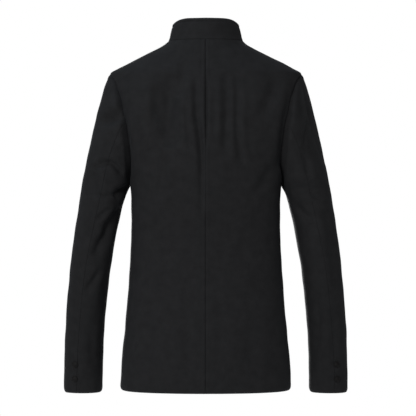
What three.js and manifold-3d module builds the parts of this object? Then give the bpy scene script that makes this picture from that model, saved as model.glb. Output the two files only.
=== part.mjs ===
// Gakuran: a black jacket with a stand collar, in the shape it has when worn, with nobody in it.
// Millimetres, +Z up. The front faces -Y and the wearer's left is +X.
// The origin is the centre of the neck opening, level with the collar seam at the back.
import * as THREE from "three";
import Module from "manifold-3d";

// Driving dimensions
const CLOTH_WALL = 2;
const COLLAR_WALL = 3;
const SEAM_GAP = 0.3;
const BACK_LENGTH = 727;
const NECK_HALF_WIDTH = 77;
const FRONT_NECK_DROP = 58;
const SHOULDER_TIP_DROP = 69;
const UNDERARM_DROP = 300;
const ARMHOLE_BACK_DEPTH = 70;
const ARMHOLE_FRONT_DEPTH = 74;
const COLLAR_HEIGHT = { back: 44.7, side: 36, front: 38 };
const COLLAR_TOP = { halfWidth: 67, back: 50, front: 65 };
const COLLAR_OPENING = 3;
const FRONT_OVERLAP = 20;
const FRONT_SPREAD = 1.5;
const BUTTONHOLE = { length: 20, height: 3.2, past: 2.2 };
const FRONT_BUTTON = { radius: 10.5, shank: 1.2, foot: -2.7 };
const CUFF_BUTTON = { radius: 6.5, shank: 1.4, foot: 0.15 };
const FRONT_BUTTON_DROPS = [85, 188, 291, 394, 497];
const CUFF_BUTTON_DROPS = [676, 707];
const CUFF_BUTTON_OFFSET = 4.5;
const SLEEVE_FLATNESS = 0.72;

// How many faces each stretch of a seam has, shared by the pieces that meet there
const FACES = { neck: 6, shoulder: 8, side: 14, armhole: 10, collar: 3 };
const UNDERARM_DIP = { depth: 8, width: 40 };
const FRONT_NECK_ANGLES = [90, 105, 120, 135, 150, 165, 172.5, 180];

// Level sections of the body. half is the half width; back and front are the depths at the centre;
// ridge is where the sides' fold line lies; a power below 1 makes that half of the section boxier.
const SECTION = table(
  ["drop", "half", "back", "front", "ridge", "backPower", "frontPower"],
  [
    [0, 77, 62, 16, 5, 1, 1],
    [8.6, 87, 64.9, 29.6, 5, 0.98, 1],
    [15, 98.5, 67, 36.9, 5, 0.97, 1],
    [30, 128, 72, 46.1, 5, 0.93, 1],
    [40, 148, 76, 53, 5, 0.9, 1],
    [51, 169.3, 80.4, 61, 5, 0.87, 1],
    [58, 182.7, 83.2, 66, 5, 0.85, 1],
    [69, 200, 87.6, 70.5, 5, 0.82, 0.96],
    [80, 201, 90.6, 75, 5, 0.8, 0.92],
    [109, 208, 98, 87, 5, 0.76, 0.85],
    [142, 209.5, 105, 98, 5, 0.72, 0.8],
    [178, 199, 110, 106, 5, 0.68, 0.75],
    [223, 179, 114, 112, 3, 0.65, 0.7],
    [267, 163, 115, 114, 2, 0.63, 0.67],
    [300, 157, 114, 113, 0, 0.62, 0.65],
    [332, 155, 111, 110, 0, 0.62, 0.65],
    [374, 154.6, 105, 106, 0, 0.62, 0.65],
    [416, 155.6, 100, 103, 0, 0.62, 0.65],
    [479, 158.6, 102, 104, 0, 0.62, 0.65],
    [542, 163.3, 108, 107, 0, 0.62, 0.65],
    [600, 168.4, 114, 110, 0, 0.62, 0.65],
    [668, 174.8, 118, 113, 0, 0.62, 0.65],
    [727, 178.2, 119, 115, 0, 0.62, 0.65],
  ],
);

// Rings of the sleeve, from the armhole to the cuff: where the ring's outer and inner points lie,
// its half depth, the y of its middle, and the angle of the seam behind the arm, from the outer point.
const SLEEVE = table(
  ["ring", "outerX", "outerDrop", "innerX", "innerDrop", "depth", "middle", "hindSeam"],
  [
    [0, 200, 69, 157, 300, 72, 3, 85],
    [1, 211, 95, 160.5, 305, 71, 3, 86],
    [2, 223, 138, 165, 313, 68.5, 3, 87],
    [3, 234, 184, 168.5, 321.5, 66, 3, 88],
    [4, 243.9, 228, 171.4, 331, 64, 2, 89],
    [5, 252.9, 273, 174.9, 342, 62.5, 2, 90],
    [6, 260.9, 316, 179.5, 359, 62, 1, 90],
    [7, 268.2, 362, 186, 388, 60, 0, 88],
    [8, 275.1, 408, 193.1, 426, 57.5, -1, 85],
    [9, 281.5, 456, 200.4, 468, 55, -4, 82],
    [10, 286.9, 503.4, 206.4, 512.5, 53, -10, 80],
    [11, 291.6, 551, 211, 557, 51, -17, 79],
    [12, 295, 598.7, 215.4, 601.7, 49, -24, 78],
    [13, 297.4, 646.5, 218.2, 647.5, 47, -30, 76],
    [14, 299.1, 693.3, 219.5, 693.3, 46, -35, 75],
    [15, 299.9, 738.2, 220.3, 738.2, 45, -39, 74],
  ],
);
const SLEEVE_RINGS = [0, 0.8, 1.7, 2.7, 3.7, 4.7, 5.6, 6.4, 7, 7.6, 8.2, 8.8, 9.4, 10, 11, 12, 13, 14, 15];
const FORE_SEAM = 235;
const ARMHOLE_BLEND = 5;

// The collar leans in more at its foot: the share of its lean at each share of its height
const COLLAR_LEAN = table(
  ["height", "share"],
  [
    [0, 0],
    [0.1, 0.15],
    [0.24, 0.31],
    [0.41, 0.42],
    [0.56, 0.54],
    [0.71, 0.68],
    [0.87, 0.86],
    [1, 1],
  ],
);

// The largest folds, each along three points at x and z from the garment's middle plane outward.
// A trough has a negative height. Width is from the fold's middle to where it is mostly gone.
const FOLDS = [
  ["back_left", [57, -66], [103, -149], [88, -272], -3.2, 17],
  ["back_left", [24, -98], [14, -240], [12, -400], -1.6, 11],
  ["back_left", [120, -330], [95, -420], [60, -470], -2.2, 20],
  ["back_right", [38, -76], [40, -150], [36, -250], -2.4, 13],
  ["back_right", [131, -85], [112, -170], [118, -290], -2.6, 18],
  ["back_right", [120, -335], [90, -430], [70, -520], -2.2, 20],
  ["front_left", [60, -90], [110, -170], [120, -280], -3, 18],
  ["front_left", [130, -330], [95, -420], [70, -500], -2.2, 20],
  ["front_right", [60, -90], [110, -170], [120, -280], -3, 18],
  ["front_right", [130, -330], [95, -420], [70, -500], -2.2, 20],
  ["sleeve_left_top", [222, -350], [236, -436], [262, -470], -3.4, 14],
  ["sleeve_left_under", [205, -300], [222, -380], [233, -436], -2.4, 14],
  ["sleeve_right_top", [226, -340], [240, -420], [266, -450], -2.6, 14],
  ["sleeve_right_under", [205, -300], [222, -380], [233, -436], -2.4, 14],
].map(([piece, start, middle, end, height, width]) => ({
  piece,
  line: [start, middle, end],
  height,
  width,
}));

const radians = THREE.MathUtils.degToRad;
const lerp = THREE.MathUtils.lerp;
const smooth = (from, to, value) => THREE.MathUtils.smoothstep(value, from, to);

// A curve through the rows that never swings past them, going on straight beyond the ends
function monotone(x, y) {
  const step = x.slice(1).map((value, i) => value - x[i]);
  const rise = step.map((width, i) => (y[i + 1] - y[i]) / width);
  const slope = x.map((_, i) => {
    if (i === 0 || i === step.length) return rise[Math.min(i, step.length - 1)];
    if (rise[i - 1] * rise[i] <= 0) return 0;
    const before = step[i - 1] + 2 * step[i];
    const after = 2 * step[i - 1] + step[i];
    return (before + after) / (before / rise[i - 1] + after / rise[i]);
  });
  const last = x.length - 1;
  return (at) => {
    if (at <= x[0]) return y[0] + slope[0] * (at - x[0]);
    if (at >= x[last]) return y[last] + slope[last] * (at - x[last]);
    const i = x.findIndex((value) => value > at) - 1;
    const t = (at - x[i]) / step[i];
    const ease = t * t * (3 - 2 * t);
    const start = t * (1 - t) ** 2 * step[i];
    const end = t * t * (t - 1) * step[i];
    return lerp(y[i], y[i + 1], ease) + start * slope[i] + end * slope[i + 1];
  };
}

// The rows' columns as curves over their first column
function table(columns, rows) {
  const keys = rows.map((row) => row[0]);
  const curves = columns.slice(1).map((name, i) => [
    name,
    monotone(keys, rows.map((row) => row[i + 1])),
  ]);
  return (at) => Object.fromEntries(curves.map(([name, curve]) => [name, curve(at)]));
}

// Points at even steps along a path, given as a function from 0 to 1
function evenly(path, count) {
  const fine = Array.from({ length: 401 }, (_, i) => path(i / 400));
  const length = [0];
  fine.slice(1).forEach((point, i) => length.push(length[i] + point.distanceTo(fine[i])));
  return Array.from({ length: count + 1 }, (_, k) => {
    const wanted = (length[400] * k) / count;
    const i = Math.max(1, length.findIndex((value) => value >= wanted - 1e-9));
    const share = (wanted - length[i - 1]) / (length[i] - length[i - 1]);
    return path((i - 1 + share) / 400);
  });
}

// The body's smooth shape: turn is 0 at the centre back and π at the centre front
function onBody(turn, drop) {
  const s = SECTION(drop);
  const lean = Math.cos(turn);
  const y =
    lean >= 0
      ? s.ridge + (s.back - s.ridge) * lean ** s.backPower
      : s.ridge - (s.front + s.ridge) * (-lean) ** s.frontPower;
  return new THREE.Vector3(s.half * Math.sin(turn), y, -drop);
}

function turnAt(x, y, drop) {
  const s = SECTION(drop);
  const lean =
    y >= s.ridge
      ? ((y - s.ridge) / (s.back - s.ridge)) ** (1 / s.backPower)
      : -(((s.ridge - y) / (s.front + s.ridge)) ** (1 / s.frontPower));
  return Math.atan2(x / s.half, lean);
}

const toBody = (point) => onBody(turnAt(point.x, point.y, -point.z), -point.z);

function bodyNormal(point) {
  const drop = -point.z;
  const turn = turnAt(point.x, point.y, drop);
  const across = onBody(turn + 0.01, drop).sub(onBody(turn - 0.01, drop));
  const down = onBody(turn, drop + 0.5).sub(onBody(turn, drop - 0.5));
  return across.cross(down).normalize();
}

// The armhole on the body: 0 at the shoulder tip, 90 at the back, 180 under the arm
function armhole(degrees) {
  const angle = radians(degrees);
  const drop = lerp(SHOULDER_TIP_DROP, UNDERARM_DROP, (1 - Math.cos(angle)) / 2);
  const s = SECTION(drop);
  const behind = Math.sin(angle) >= 0;
  const y = s.ridge + (behind ? ARMHOLE_BACK_DEPTH : ARMHOLE_FRONT_DEPTH) * Math.sin(angle);
  const reach = behind ? (y - s.ridge) / (s.back - s.ridge) : (s.ridge - y) / (s.front + s.ridge);
  const lean = reach ** (1 / (behind ? s.backPower : s.frontPower));
  return new THREE.Vector3(s.half * Math.sqrt(1 - lean * lean), y, -drop);
}

// The sleeve's surface, whose first ring is the armhole
function onSleeve(ring, degrees) {
  const angle = radians(degrees);
  const bulge = Math.sign(Math.sin(angle)) * Math.abs(Math.sin(angle)) ** SLEEVE_FLATNESS;
  const oval = (s) =>
    new THREE.Vector3(
      (s.outerX + s.innerX) / 2 + ((s.outerX - s.innerX) / 2) * Math.cos(angle),
      s.middle + s.depth * bulge,
      -(s.outerDrop + s.innerDrop) / 2 + ((s.innerDrop - s.outerDrop) / 2) * Math.cos(angle),
    );
  const blend = Math.max(0, 1 - ring / ARMHOLE_BLEND) ** 2;
  return oval(SLEEVE(ring)).addScaledVector(armhole(degrees).sub(oval(SLEEVE(0))), blend);
}

function sleeveNormal(ring, degrees) {
  const along = onSleeve(ring + 0.2, degrees).sub(onSleeve(Math.max(0, ring - 0.2), degrees));
  const around = onSleeve(ring, degrees + 1).sub(onSleeve(ring, degrees - 1));
  return along.cross(around).normalize();
}

// The angle of each lengthwise line of the sleeve: 5 and 5 behind, 3 and 7 in front
function sleeveAngle(ring, line) {
  const hind = SLEEVE(ring).hindSeam;
  const turns = Math.floor(line / 20) * 360;
  const k = line % 20;
  if (k <= 5) return turns + (hind * k) / 5;
  if (k <= 10) return turns + lerp(hind, 180, (k - 5) / 5);
  if (k <= 13) return turns + lerp(180, FORE_SEAM, (k - 10) / 3);
  return turns + lerp(FORE_SEAM, 360, (k - 13) / 7);
}

// The neckline, from the centre back at 0 to the centre front at 180
function neckline(degrees) {
  const angle = radians(degrees);
  if (degrees <= 90) return onBody(angle, 0);
  const drop = FRONT_NECK_DROP * Math.abs(Math.cos(angle)) ** 1.5;
  const x = NECK_HALF_WIDTH * Math.sin(angle);
  return onBody(Math.PI - Math.asin(Math.min(1, x / SECTION(drop).half)), drop);
}

function onCollar(degrees, height) {
  const foot = neckline(degrees);
  const cosine = Math.cos(radians(degrees));
  const forward = Math.max(0, -cosine);
  const frontTop = COLLAR_HEIGHT.front - FRONT_NECK_DROP;
  const rise = (COLLAR_HEIGHT.back - COLLAR_HEIGHT.side) * THREE.MathUtils.smoothstep(cosine, 0.1, 0.85);
  const top = new THREE.Vector3(
    COLLAR_TOP.halfWidth * Math.sin(radians(degrees)),
    5 + (cosine > 0 ? COLLAR_TOP.back : COLLAR_TOP.front) * cosine,
    COLLAR_HEIGHT.side + rise + (frontTop - COLLAR_HEIGHT.side) * forward ** 1.5,
  );
  const lean = COLLAR_LEAN(height).share;
  return new THREE.Vector3(
    lerp(foot.x, top.x, lean),
    lerp(foot.y, top.y, lean),
    lerp(foot.z, top.z, height),
  );
}

function collarNormal(degrees, height) {
  const around = onCollar(Math.min(180, degrees + 1), height).sub(onCollar(Math.max(0, degrees - 1), height));
  const up = onCollar(degrees, Math.min(1, height + 0.05)).sub(onCollar(degrees, Math.max(0, height - 0.05)));
  return up.cross(around).normalize();
}

// Where two pieces meet at an angle, both walls end on the plane between their directions
function mitre(point, first, second) {
  const normal = first.clone().add(second).normalize();
  return { point, normal, reach: Math.min(2.2, 1 / normal.dot(first)), lift: 0 };
}

const armholeSeam = Array.from({ length: 21 }, (_, k) => {
  const angle = sleeveAngle(0, k);
  return mitre(armhole(angle), bodyNormal(armhole(angle)), sleeveNormal(0, angle));
});
const backAngles = Array.from({ length: FACES.neck + 1 }, (_, i) => (90 * i) / FACES.neck);
const neckAngles = [...backAngles, ...FRONT_NECK_ANGLES.slice(1)];
const neckSeam = neckAngles.map((angle) => {
  const point = neckline(angle);
  return mitre(point, bodyNormal(point), collarNormal(angle, 0));
});

// Edge points of the body pieces, from the hem up
const sidePoints = evenly((t) => onBody(Math.PI / 2, lerp(BACK_LENGTH, UNDERARM_DROP, t)), FACES.side);
const shoulderPoints = evenly((t) => onBody(Math.PI / 2, SHOULDER_TIP_DROP * t), FACES.shoulder);

// A patch between four edges, pulled onto the body's shape. Its rows dip under the arm, where a
// level row would run along the armhole.
function patch(bottom, top, left, right) {
  const shares = (line) => {
    const length = [0];
    line.slice(1).forEach((point, i) => length.push(length[i] + point.distanceTo(line[i])));
    return length.map((value) => value / length.at(-1));
  };
  const across = shares(bottom);
  const upward = shares(left);
  const mix = (a, b, share) => a.clone().lerp(b, share);
  return left.map((_, j) =>
    bottom.map((_, i) => {
      if (j === 0) return bottom[i];
      if (j === left.length - 1) return top[i];
      if (i === 0) return left[j];
      if (i === bottom.length - 1) return right[j];
      const u = across[i];
      const v = upward[j];
      const corners = mix(mix(bottom[0], bottom.at(-1), u), mix(top[0], top.at(-1), u), v);
      const point = mix(bottom[i], top[i], v).add(mix(left[j], right[j], u)).sub(corners);
      const away = point.distanceTo(sidePoints.at(-1));
      point.z -= UNDERARM_DIP.depth * Math.exp(-((away / UNDERARM_DIP.width) ** 2));
      return toBody(point);
    }),
  );
}

// How far a piece's folds lift a point
function foldLift(piece, point) {
  let lift = 0;
  for (const fold of FOLDS.filter((row) => row.piece === piece)) {
    let nearest = { distance: Infinity, share: 0 };
    fold.line.slice(1).forEach((end, i) => {
      const start = fold.line[i];
      const run = [end[0] - start[0], end[1] - start[1]];
      const away = [point.x - start[0], point.z - start[1]];
      const along = (away[0] * run[0] + away[1] * run[1]) / (run[0] ** 2 + run[1] ** 2);
      const share = THREE.MathUtils.clamp(along, 0, 1);
      const distance = Math.hypot(away[0] - share * run[0], away[1] - share * run[1]);
      if (distance < nearest.distance) nearest = { distance, share: (i + share) / 2 };
    });
    const taper = Math.sin(Math.PI * nearest.share) ** 0.7;
    lift += fold.height * taper * Math.exp(-((nearest.distance / fold.width) ** 2));
  }
  return lift;
}

function backGrid(piece) {
  const hem = evenly((t) => onBody((Math.PI / 2) * t, BACK_LENGTH), FACES.neck + FACES.shoulder);
  const neck = neckSeam.slice(0, FACES.neck + 1).map((node) => node.point);
  const centre = evenly((t) => onBody(0, BACK_LENGTH * (1 - t)), FACES.side + FACES.armhole);
  const hole = armholeSeam.slice(0, FACES.armhole + 1).reverse();
  const outer = [...sidePoints, ...hole.slice(1).map((node) => node.point)];
  const points = patch(hem, [...neck, ...shoulderPoints.slice(1)], centre, outer);
  return bodyNodes(piece, points, neckSeam.slice(0, FACES.neck + 1), 0, hole, () => 0);
}

function frontGrid(piece, spread) {
  const inFront = (x, drop) => onBody(Math.PI - Math.asin(x / SECTION(drop).half), drop);
  const edgeTop = FRONT_NECK_DROP + 3;
  const free = [-FRONT_OVERLAP, -FRONT_OVERLAP / 2];
  const nearCentre = [...free, 0, FRONT_OVERLAP / 2, FRONT_OVERLAP];
  const start = Math.PI - Math.asin(FRONT_OVERLAP / SECTION(BACK_LENGTH).half);
  const hemCount = FRONT_NECK_ANGLES.length - 3 + FACES.shoulder;
  const hemRest = evenly((t) => onBody(lerp(start, Math.PI / 2, t), BACK_LENGTH), hemCount);
  const hem = [...nearCentre.map((x) => inFront(x, BACK_LENGTH)), ...hemRest.slice(1)];
  const neck = neckSeam.slice(FACES.neck).reverse();
  const top = [
    ...free.map((x) => inFront(x, edgeTop)),
    ...neck.map((node) => node.point),
    ...shoulderPoints.slice(1),
  ];
  const edge = evenly((t) => inFront(-FRONT_OVERLAP, lerp(BACK_LENGTH, edgeTop, t)), FACES.side + FACES.armhole);
  const hole = armholeSeam.slice(FACES.armhole);
  const outer = [...sidePoints, ...hole.slice(1).map((node) => node.point)];
  const lap = (point) => spread * (1 - smooth(22, 60, point.x));
  return bodyNodes(piece, patch(hem, top, edge, outer), neck, free.length, hole, lap);
}

// The grid's nodes, with the shared seam nodes at the neck and the armhole
function bodyNodes(piece, points, neck, neckStart, hole, lap) {
  const top = points.length - 1;
  const side = points[0].length - 1;
  return points.map((line, j) =>
    line.map((point, i) => {
      const inside = j > 0 && j < top && i > 0 && i < side;
      const lift = lap(point) + (inside ? foldLift(piece, point) : 0);
      const atNeck = j === top ? neck[i - neckStart] : undefined;
      const atHole = i === side ? hole[j - FACES.side] : undefined;
      const seam = atHole ?? atNeck ?? { point, normal: bodyNormal(point), reach: 1 };
      return { ...seam, lift };
    }),
  );
}

// A sleeve panel between two of the sleeve's lengthwise lines
function sleeveGrid(piece, from, to) {
  return SLEEVE_RINGS.map((ring, j) =>
    Array.from({ length: to - from + 1 }, (_, i) => {
      const angle = sleeveAngle(ring, from + i);
      if (j === 0) return armholeSeam[(from + i) % 20];
      const point = onSleeve(ring, angle);
      const inside = i > 0 && i < to - from && j < SLEEVE_RINGS.length - 1;
      const behind = Math.max(0, Math.sin(radians(angle)));
      const lift = inside ? foldLift(piece, point) * behind : 0;
      return { point, normal: sleeveNormal(ring, angle), reach: 1, lift };
    }),
  );
}

function collarGrid() {
  const heights = Array.from({ length: FACES.collar + 1 }, (_, j) => j / FACES.collar);
  const half = heights.map((height, j) =>
    neckAngles.map((angle, i) => {
      if (j === 0) return neckSeam[i];
      return { point: onCollar(angle, height), normal: collarNormal(angle, height), reach: 1, lift: 0 };
    }),
  );
  return half.map((line) => {
    const end = line.at(-1);
    const before = line.at(-2);
    const share = COLLAR_OPENING / 2 / before.point.x;
    const cut = { ...end, point: end.point.clone().lerp(before.point, share) };
    const left = [...line.slice(0, -1), cut];
    return [...mirrored([left.slice(1)])[0].reverse(), ...left];
  });
}

function mirrored(grid) {
  const turn = (v) => new THREE.Vector3(-v.x, v.y, v.z);
  return grid.map((line) =>
    line.map((node) => ({ ...node, point: turn(node.point), normal: turn(node.normal) })),
  );
}

// Half the seam gap, inward from the piece's edge
function edgeTrim(node, before, after, inside) {
  const inward = inside.point.clone().sub(node.point);
  const sides = [before, after]
    .filter((other) => other)
    .map((other) => {
      const across = other.point.clone().sub(node.point).cross(node.normal).normalize();
      return across.multiplyScalar(across.dot(inward) < 0 ? -1 : 1);
    });
  if (sides.length === 1) return sides[0].multiplyScalar(SEAM_GAP / 2);
  const share = SEAM_GAP / 2 / Math.max(0.5, 1 + sides[0].dot(sides[1]));
  return sides[0].add(sides[1]).multiplyScalar(share);
}

// A closed wall on a grid of nodes
function wallGeometry(grid, thickness) {
  const rows = grid.length - 1;
  const columns = grid[0].length - 1;
  const place = (node, j, i) => {
    const point = node.point.clone();
    if (i === 0 || i === columns) {
      const inside = grid[j][i === 0 ? 1 : columns - 1];
      point.add(edgeTrim(node, grid[j - 1]?.[i], grid[j + 1]?.[i], inside));
    }
    if (j === 0 || j === rows) {
      const inside = grid[j === 0 ? 1 : rows - 1][i];
      point.add(edgeTrim(node, grid[j][i - 1], grid[j][i + 1], inside));
    }
    return point;
  };
  const vertices = [];
  for (const layer of [0.5, -0.5]) {
    grid.forEach((line, j) =>
      line.forEach((node, i) => {
        const off = node.lift + layer * thickness * node.reach;
        vertices.push(place(node, j, i).addScaledVector(node.normal, off));
      }),
    );
  }
  const count = (rows + 1) * (columns + 1);
  const outer = (j, i) => j * (columns + 1) + i;
  const middle = [Math.floor(rows / 2), Math.floor(columns / 2)];
  const node = grid[middle[0]][middle[1]];
  const across = grid[middle[0]][middle[1] + 1].point.clone().sub(node.point);
  const up = grid[middle[0] + 1][middle[1]].point.clone().sub(node.point);
  const turned = across.cross(up).dot(node.normal) < 0;
  const faces = [];
  const quad = (a, b, c, d) => {
    const straight = vertices[a].distanceTo(vertices[c]) <= vertices[b].distanceTo(vertices[d]);
    const pair = straight ? [a, b, c, a, c, d] : [b, c, d, b, d, a];
    faces.push(...(turned ? pair.reverse() : pair));
  };
  for (let j = 0; j < rows; j++) {
    for (let i = 0; i < columns; i++) {
      const [a, b, c, d] = [outer(j, i), outer(j, i + 1), outer(j + 1, i + 1), outer(j + 1, i)];
      quad(a, b, c, d);
      quad(d + count, c + count, b + count, a + count);
    }
  }
  const rim = [
    ...Array.from({ length: columns }, (_, i) => outer(0, i)),
    ...Array.from({ length: rows }, (_, j) => outer(j, columns)),
    ...Array.from({ length: columns }, (_, i) => outer(rows, columns - i)),
    ...Array.from({ length: rows }, (_, j) => outer(rows - j, 0)),
  ];
  rim.forEach((a, k) => {
    const b = rim[(k + 1) % rim.length];
    quad(a, a + count, b + count, b);
  });
  return toGeometry(vertices, faces);
}

function toGeometry(vertices, faces) {
  const geometry = new THREE.BufferGeometry();
  geometry.setAttribute("position", new THREE.Float32BufferAttribute(vertices.flatMap((v) => v.toArray()), 3));
  geometry.setIndex(faces);
  geometry.computeVertexNormals();
  return geometry;
}

// A turned piece: its profile goes from the axis to the axis, as radius and height
function turnedGeometry(profile, sides, frame) {
  const vertices = [new THREE.Vector3(0, 0, profile[0][1])];
  const rings = profile.slice(1, -1);
  for (const [radius, height] of rings) {
    for (let k = 0; k < sides; k++) {
      const angle = (2 * Math.PI * k) / sides;
      vertices.push(new THREE.Vector3(radius * Math.cos(angle), radius * Math.sin(angle), height));
    }
  }
  vertices.push(new THREE.Vector3(0, 0, profile.at(-1)[1]));
  const last = vertices.length - 1;
  const faces = [];
  const at = (ring, k) => 1 + ring * sides + (k % sides);
  for (let k = 0; k < sides; k++) {
    faces.push(0, at(0, k + 1), at(0, k));
    faces.push(last, at(rings.length - 1, k), at(rings.length - 1, k + 1));
    for (let ring = 0; ring < rings.length - 1; ring++) {
      const [a, b] = [at(ring, k), at(ring, k + 1)];
      const [c, d] = [at(ring + 1, k + 1), at(ring + 1, k)];
      faces.push(a, b, c, a, c, d);
    }
  }
  return toGeometry(vertices.map((v) => v.applyMatrix4(frame)), faces);
}

// A frame whose z points out of the cloth and whose y points as far up as it can
function clothFrame(point, normal) {
  const across = new THREE.Vector3(0, 0, 1).cross(normal).normalize();
  const up = normal.clone().cross(across);
  return new THREE.Matrix4().makeBasis(across, up, normal).setPosition(point);
}

function buttonGeometry(size, frame) {
  const { radius, shank, foot } = size;
  const scale = radius / 10.5;
  const profile = [
    [0, foot],
    [shank, foot],
    [shank, 0.7],
    [9 * scale, 0.9],
    [radius, 0.9 + 1.1 * scale],
    [radius, 0.9 + 1.9 * scale],
    [7.6 * scale, 0.9 + 3.9 * scale],
    [4 * scale, 0.9 + 4.9 * scale],
    [0, 0.9 + 5.2 * scale],
  ];
  return turnedGeometry(profile, 14, frame);
}

// Solids for the cuts
const wasm = await Module();
wasm.setup();

function toSolid(geometry) {
  const { position } = geometry.attributes;
  return new wasm.Manifold(
    new wasm.Mesh({
      numProp: 3,
      vertProperties: new Float32Array(position.array),
      triVerts: new Uint32Array(geometry.index.array),
    }),
  );
}

function fromSolid(solid) {
  const mesh = solid.getMesh();
  const geometry = new THREE.BufferGeometry();
  geometry.setAttribute("position", new THREE.Float32BufferAttribute(Array.from(mesh.vertProperties), 3));
  geometry.setIndex(Array.from(mesh.triVerts));
  geometry.computeVertexNormals();
  return geometry;
}

// A block on the cloth frame, from lowest to highest corner
function block(low, high, frame) {
  const corners = [0, 1, 2, 3, 4, 5, 6, 7].map(
    (k) => new THREE.Vector3(k & 1 ? high[0] : low[0], k & 2 ? high[1] : low[1], k & 4 ? high[2] : low[2]),
  );
  const quads = [[0, 2, 3, 1], [4, 5, 7, 6], [0, 1, 5, 4], [2, 6, 7, 3], [0, 4, 6, 2], [1, 3, 7, 5]];
  const faces = quads.flatMap(([a, b, c, d]) => [a, b, c, a, c, d]);
  return toGeometry(corners.map((v) => v.applyMatrix4(frame)), faces);
}

// The pieces
const wool = new THREE.MeshStandardMaterial({ color: 0x202126, roughness: 0.9, metalness: 0 });
const horn = new THREE.MeshStandardMaterial({ color: 0x111113, roughness: 0.35, metalness: 0 });
const jacket = new THREE.Group();

function add(name, geometry, material) {
  const mesh = new THREE.Mesh(geometry, material);
  mesh.name = name;
  jacket.add(mesh);
}

const buttonFrames = FRONT_BUTTON_DROPS.map((drop) => {
  const point = onBody(Math.PI, drop);
  const normal = bodyNormal(point);
  return clothFrame(point.addScaledVector(normal, FRONT_SPREAD + CLOTH_WALL / 2), normal);
});

// The holes run from the centre line toward the wearer's left, which is +x in the cloth frame
let leftFront = toSolid(wallGeometry(frontGrid("front_left", FRONT_SPREAD), CLOTH_WALL));
for (const frame of buttonFrames) {
  const low = [-BUTTONHOLE.past, -BUTTONHOLE.height / 2, -6];
  const high = [BUTTONHOLE.length - BUTTONHOLE.past, BUTTONHOLE.height / 2, 6];
  leftFront = leftFront.subtract(toSolid(block(low, high, frame)));
}

add("back_left", wallGeometry(backGrid("back_left"), CLOTH_WALL), wool);
add("back_right", wallGeometry(mirrored(backGrid("back_right")), CLOTH_WALL), wool);
add("front_left", fromSolid(leftFront), wool);
add("front_right", wallGeometry(mirrored(frontGrid("front_right", -FRONT_SPREAD)), CLOTH_WALL), wool);
add("sleeve_left_top", wallGeometry(sleeveGrid("sleeve_left_top", 13, 25), CLOTH_WALL), wool);
add("sleeve_left_under", wallGeometry(sleeveGrid("sleeve_left_under", 5, 13), CLOTH_WALL), wool);
add("sleeve_right_top", wallGeometry(mirrored(sleeveGrid("sleeve_right_top", 13, 25)), CLOTH_WALL), wool);
add("sleeve_right_under", wallGeometry(mirrored(sleeveGrid("sleeve_right_under", 5, 13)), CLOTH_WALL), wool);
add("collar", wallGeometry(collarGrid(), COLLAR_WALL), wool);
buttonFrames.forEach((frame, k) => add(`button_front_${k + 1}`, buttonGeometry(FRONT_BUTTON, frame), horn));

// The cuff buttons sit just outside the seam behind the arm
for (const [side, sign] of [["left", 1], ["right", -1]]) {
  CUFF_BUTTON_DROPS.forEach((drop, k) => {
    const ring = 13 + (drop - 647) / 46;
    const degrees = SLEEVE(ring).hindSeam;
    const around = onSleeve(ring, degrees).distanceTo(onSleeve(ring, degrees - 1));
    const angle = degrees - CUFF_BUTTON_OFFSET / around;
    const point = onSleeve(ring, angle);
    const normal = sleeveNormal(ring, angle);
    point.addScaledVector(normal, CLOTH_WALL / 2);
    point.x *= sign;
    normal.x *= sign;
    const frame = clothFrame(point, normal);
    add(`button_cuff_${side}_${k + 1}`, buttonGeometry(CUFF_BUTTON, frame), horn);
  });
}

export default jacket;
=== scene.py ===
# %% [markdown]
# This is a gakuran, a black jacket with a stand collar, seen from behind. It keeps the shape that it has
# when worn, with nobody in it, so it is a hollow shell of cloth that is open at the neck, hem and cuffs.
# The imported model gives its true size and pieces. Every piece made here is in metres, in the same frame:
# the front faces -Y, the wearer's left is +X, and the origin is the middle of the neck opening.

import math
from types import SimpleNamespace

import bmesh
import bpy
import numpy as np
from mathutils import Matrix, Vector


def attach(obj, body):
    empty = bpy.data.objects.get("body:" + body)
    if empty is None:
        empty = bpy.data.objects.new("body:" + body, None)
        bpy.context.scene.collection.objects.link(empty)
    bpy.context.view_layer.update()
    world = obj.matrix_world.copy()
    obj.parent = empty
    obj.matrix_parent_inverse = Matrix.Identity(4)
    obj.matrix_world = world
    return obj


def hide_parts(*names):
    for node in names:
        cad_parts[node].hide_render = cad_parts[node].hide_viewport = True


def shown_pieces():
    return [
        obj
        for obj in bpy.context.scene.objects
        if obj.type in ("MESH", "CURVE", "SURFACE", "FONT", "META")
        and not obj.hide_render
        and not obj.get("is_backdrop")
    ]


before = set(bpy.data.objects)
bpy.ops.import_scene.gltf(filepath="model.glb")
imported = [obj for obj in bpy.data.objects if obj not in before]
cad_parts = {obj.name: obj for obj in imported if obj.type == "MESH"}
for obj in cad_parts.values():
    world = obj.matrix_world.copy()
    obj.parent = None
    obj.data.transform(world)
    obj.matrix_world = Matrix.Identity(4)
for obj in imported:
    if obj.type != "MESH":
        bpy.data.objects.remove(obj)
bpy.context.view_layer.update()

# %% [markdown]
# The picture was taken straight on from about 3.6 m, level with the middle of the back, with a long lens.
# A pixel there spans 2.1 mm at the side seams, and that fixes the lens.

# %% The camera
DISTANCE = 3.6
PIXEL = 0.0021
PICTURE_WIDTH = 416
SENSOR_MM = 36


def add_object(name, data):
    made = bpy.data.objects.new(name, data)
    bpy.context.collection.objects.link(made)
    return made


camera_data = bpy.data.cameras.new("camera")
camera = add_object("camera", camera_data)
camera_data.sensor_width = SENSOR_MM
camera_data.lens = SENSOR_MM * DISTANCE / (PICTURE_WIDTH * PIXEL)
camera.location = (-0.0046, DISTANCE, -0.3488)
camera.rotation_euler = (math.radians(90), 0, math.radians(180))
bpy.context.scene.camera = camera
print("lens:", round(camera_data.lens, 1), "mm")

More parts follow.
